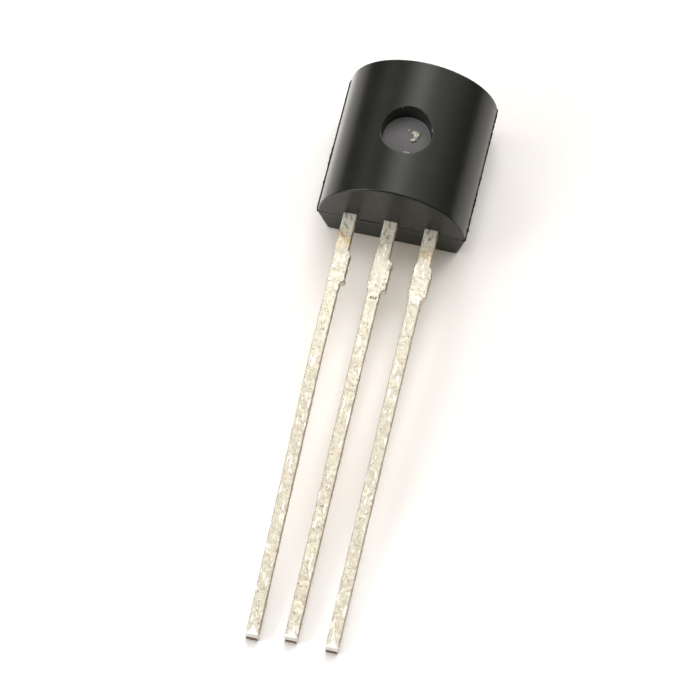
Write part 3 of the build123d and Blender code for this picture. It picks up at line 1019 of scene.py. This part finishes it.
def crumb_finish(colours):
    """Dry cream crumb with greyer hollows."""
    finish = Finish("dry_crumb")
    cloud = finish.noise(0.05, detail=4)
    finish.bump(cloud, 0.012)
    base = finish.layers(colours.crumb, (finish.step(cloud, 0.42, 0.58), colours.crumb_hollow))
    return finish.finish(base, 0.55 + 0.2 * cloud)


# ---------------- stage
# Colours of the floor. The camera and reflections see the first three: even white by the body, painted light
# that
# lightens the shadows by the lead tips, and painted shadow under the body's end. Reflections alone see the
# next two:
# a painted darker reflection of the far paper, and a painted bright reflection beside the left flank. The
# light that the floor gives back takes the plain one.
PAPER_BY_BODY = (1.16, 1.125, 1.125)
PAPER_LIT_BY_TIPS = (1.27, 1.26, 1.30)
PAPER_SHADOW_UNDER_END = (0.82, 0.78, 0.77)
PAPER_FAR_DARK_REFLECTION = (0.45, 0.44, 0.44)
PAPER_BESIDE_BRIGHT_REFLECTION = (2.0, 1.92, 1.89)
PAPER_PLAIN = (0.75, 0.74, 0.73)
PAPER_GLOW = (1, 0.84, 0.40)
PAPER_GLOW_STRENGTH = 0.05

# Brightness of the tent: around it, by degrees from overhead towards +X, and along it, by the
# direction's part along Y.
TENT_TINT = (1, 0.988, 0.94)
TENT_PEAK = 2.0
TENT_AROUND = (
    (-90, 0.12), (-80, 0.11), (-72, 0.17), (-63, 0.52), (-53, 0.60), (-45, 0.48), (-37, 0.30),
    (-29, 0.60), (-19, 1.40), (-11, 1.93), (5, 1.68), (15, 1.36), (25, 1.15), (38, 0.90), (54, 0.54),
    (70, 0.27), (90, 0.08),
)
TENT_ALONG = (
    (-1.0, 0.10), (-0.6, 0.06), (-0.3, 0.10), (-0.1, 0.54), (0.1, 0.98), (0.25, 1.0), (0.42, 0.91),
    (0.6, 0.70), (0.8, 0.44), (1.0, 0.12),
)

# Each lamp's name, compass angle, angle from straight above, half width as an angle, and radiance.
LAMPS = (
    ("left_softbox", 209, 66, 19, 3.9),
    ("high_left_softbox", 182, 42, 13, 1.9),
    ("back_softbox", 120, 76, 14, 2.8),
    ("right_back_softbox", 60, 76, 14, 6.6),
    ("high_back_softbox", 90, 44, 14, 3.7),
)


def paper_finish():
    """Pale paper that keeps shadows and otherwise shows as white, with painted shadow and light near the part
    and painted reflections around it.
    """
    material = bpy.data.materials.new("white_floor")
    material.use_nodes = True
    tree = NodeTree(material.node_tree)
    nodes = tree.tree.nodes
    nodes.remove(nodes["Principled BSDF"])
    shown = tree.rays("Camera", "Glossy", "Transmission")
    glossy = tree.rays("Glossy")
    across, along, _ = tree.split(tree.node("ShaderNodeTexCoord", output="Object"))
    # Painted light: the paper is brighter by the lead tips, which lightens the shadows there.
    lit_by_tips = tree.step(along, -10 * MM, -14 * MM)
    # Painted shadow: darker paper in front of the body's end, between the leads.
    shadow_under_end = tree.near(along, -2.2 * MM, 1.4 * MM, 0.2 * MM) * tree.near(across, 0, 2 * MM, 1.2 * MM)
    # Painted reflection: the far paper is darker in reflections only.
    far = tree.step(abs(across + 1.5 * MM), 3 * MM, 16 * MM) * glossy
    # Painted reflection: the paper beside the left flank is brighter in reflections only.
    beside = tree.window(across, -5.5 * MM, -3.1 * MM, -3.2 * MM, -2.7 * MM) * glossy
    seen = tree.layers(PAPER_BY_BODY, (lit_by_tips, PAPER_LIT_BY_TIPS), (shadow_under_end, PAPER_SHADOW_UNDER_END))
    paper = tree.layers(PAPER_PLAIN, (shown, seen), (far, PAPER_FAR_DARK_REFLECTION), (beside, PAPER_BESIDE_BRIGHT_REFLECTION))
    lit = tree.node("ShaderNodeBsdfDiffuse", inputs={"Color": paper})
    glow = {"Color": PAPER_GLOW, "Strength": shown * PAPER_GLOW_STRENGTH}
    both = tree.node("ShaderNodeAddShader", inputs={0: lit, 1: tree.node("ShaderNodeEmission", inputs=glow)})
    tree.feed(nodes["Material Output"].inputs["Surface"], both)
    return material


def white_floor(sizes):
    """Small pale sheet under the part."""
    mesh = bmesh.new()
    bmesh.ops.create_grid(mesh, x_segments=8, y_segments=8, size=sizes.floor_width / 2)
    bmesh.ops.translate(mesh, verts=mesh.verts, vec=(-2 * MM, sizes.look_at[1], 0))
    floor = new_object("floor", new_mesh(mesh, "floor", paper_finish()))


def studio_world():
    """Soft tent light: a bright strip overhead, dark to the right and in front, and white where it shows."""
    world = bpy.data.worlds.new("soft_tent")
    world.use_nodes = True
    bpy.context.scene.world = world
    tree = NodeTree(world.node_tree)
    across, along, up = tree.split(tree.node("ShaderNodeTexCoord", output="Generated"))
    around = across.maths("ARCTAN2", across, up) * (1 / math.pi) + 0.5
    stops = [((degrees + 90) / 180, level / TENT_PEAK) for degrees, level in TENT_AROUND]
    around_level = tree.node("ShaderNodeValToRGB", {"stops": stops}, {0: around})
    stops = [((place + 1) / 2, level) for place, level in TENT_ALONG]
    along_level = tree.node("ShaderNodeValToRGB", {"stops": stops}, {0: along * 0.5 + 0.5})
    shown = tree.rays("Camera", "Transmission")
    strength = around_level * along_level * TENT_PEAK
    background = tree.tree.nodes["Background"].inputs
    tree.feed(background["Strength"], strength * (1 - shown) + shown)
    tree.feed(background["Color"], tree.layers(TENT_TINT, (shown, (1, 1, 1))))


def softbox(name, compass, from_zenith, spread, radiance):
    """Round soft lamp that faces the part. Its compass angle is anticlockwise from +X, all in degrees."""
    turn, lean = math.radians(compass), math.radians(from_zenith)
    direction = Vector((math.sin(lean) * math.cos(turn), math.sin(lean) * math.sin(turn), math.cos(lean)))
    radius = LAMP_DISTANCE * math.tan(math.radians(spread))
    lamp = bpy.data.lights.new(name, "AREA")
    lamp.shape = "DISK"
    lamp.size = 2 * radius
    lamp.energy = radiance * math.pi * math.pi * radius**2
    holder = new_object(name, lamp)
    holder.location = direction * LAMP_DISTANCE
    holder.rotation_euler = (-direction).to_track_quat("-Z", "Y").to_euler()


def stage_camera(sizes):
    """Long-lens camera that looks down on the part from the side of its leads."""
    level = math.cos(sizes.elevation)
    across, along = math.sin(sizes.azimuth) * level, -math.cos(sizes.azimuth) * level
    back = Vector((across, along, math.sin(sizes.elevation)))
    camera = bpy.data.cameras.new("camera")
    camera.lens = sizes.lens
    camera.clip_start = 0.01
    camera.clip_end = 5
    turn = Matrix.Rotation(sizes.roll, 3, back) @ (-back).to_track_quat("-Z", "Y").to_matrix()
    slide = turn.col[0] * sizes.slide_right + turn.col[1] * sizes.slide_up
    place = Vector(sizes.look_at) + slide + back * sizes.distance
    holder = new_object("camera", camera)
    holder.matrix_world = Matrix.LocRotScale(place, turn.to_quaternion(), None)
    bpy.context.scene.camera = holder


# ---------------- operators
class TRIAC_OT_body(bpy.types.Operator):
    """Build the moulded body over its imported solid"""

    bl_idname = "triac.body"
    bl_label = "Moulded Body"

    def execute(self, context):
        sizes = context.scene.triac_body
        moulded_body(sizes, epoxy_finish(context.scene.triac_colours, sizes))
        return {"FINISHED"}


class TRIAC_OT_coats(bpy.types.Operator):
    """Coat the three leads, and finish the copper alloy under the coat"""

    bl_idname = "triac.coats"
    bl_label = "Lead Coats"

    def execute(self, context):
        sizes = context.scene.triac_leads
        colours = context.scene.triac_colours
        coat = coat_finish(colours, sizes)
        copper = copper_finish(colours)
        for marks in LEADS:
            coated_lead(sizes, marks, coat)
            give_finish(marks.node, copper)
        return {"FINISHED"}


class TRIAC_OT_inner_pieces(bpy.types.Operator):
    """Finish the chip, its solder and its bond wires"""

    bl_idname = "triac.inner_pieces"
    bl_label = "Chip, Solder and Wires"

    def execute(self, context):
        colours = context.scene.triac_colours
        wire = metal_finish("bond_wire", colours.aluminium, size=0.03, low=0.20, high=0.34, depth=0.001)
        solder = metal_finish("die_solder", colours.solder, size=0.05, low=0.40, high=0.62, depth=0.003)
        give_finish("die_solder", solder)
        give_finish("triac_chip", chip_finish(colours))
        give_finish("mt1_wire", wire)
        give_finish("gate_wire", wire)
        return {"FINISHED"}


class TRIAC_OT_crumb(bpy.types.Operator):
    """Put the crumb and flecks in the recess"""

    bl_idname = "triac.crumb"
    bl_label = "Crumb in the Recess"

    def execute(self, context):
        recess_crumb(context.scene.triac_body, crumb_finish(context.scene.triac_colours))
        return {"FINISHED"}


class TRIAC_OT_stage(bpy.types.Operator):
    """Set the floor, the lights and the camera"""

    bl_idname = "triac.stage"
    bl_label = "Stage"

    def execute(self, context):
        sizes = context.scene.triac_stage
        white_floor(sizes)
        studio_world()
        for lamp in LAMPS:
            softbox(*lamp)
        stage_camera(sizes)
        context.scene.view_settings.view_transform = "Standard"
        return {"FINISHED"}


def give_finish(node, material):
    """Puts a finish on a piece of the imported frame."""
    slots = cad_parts[node].data.materials
    slots.clear()
    slots.append(material)


class TRIAC_PT_panel(bpy.types.Panel):
    """The sizes, colours and steps of the part"""

    bl_label = "Triac"
    bl_idname = "TRIAC_PT_panel"
    bl_space_type = "VIEW_3D"
    bl_region_type = "UI"
    bl_category = "Triac"

    def draw(self, context):
        for operator in OPERATORS:
            self.layout.operator(operator.bl_idname)
        for name, group in GROUPS.items():
            box = self.layout.box()
            for field in group.__annotations__:
                box.prop(getattr(context.scene, name), field)


GROUPS = {
    "triac_body": BodySizes,
    "triac_leads": LeadSizes,
    "triac_colours": FinishColours,
    "triac_stage": StageSizes,
}
OPERATORS = (TRIAC_OT_body, TRIAC_OT_coats, TRIAC_OT_inner_pieces, TRIAC_OT_crumb, TRIAC_OT_stage)


def register():
    for group in GROUPS.values():
        bpy.utils.register_class(group)
    for name, group in GROUPS.items():
        setattr(bpy.types.Scene, name, PointerProperty(type=group))
    for operator in OPERATORS:
        bpy.utils.register_class(operator)
    bpy.utils.register_class(TRIAC_PT_panel)


def unregister():
    bpy.utils.unregister_class(TRIAC_PT_panel)
    for operator in reversed(OPERATORS):
        bpy.utils.unregister_class(operator)
    for name in GROUPS:
        delattr(bpy.types.Scene, name)
    for group in GROUPS.values():
        bpy.utils.unregister_class(group)


def main():
    """Builds every piece and the stage."""
    register()
    for operator in OPERATORS:
        family, name = operator.bl_idname.split(".")
        getattr(getattr(bpy.ops, family), name)()


if __name__ == "__main__":
    main()
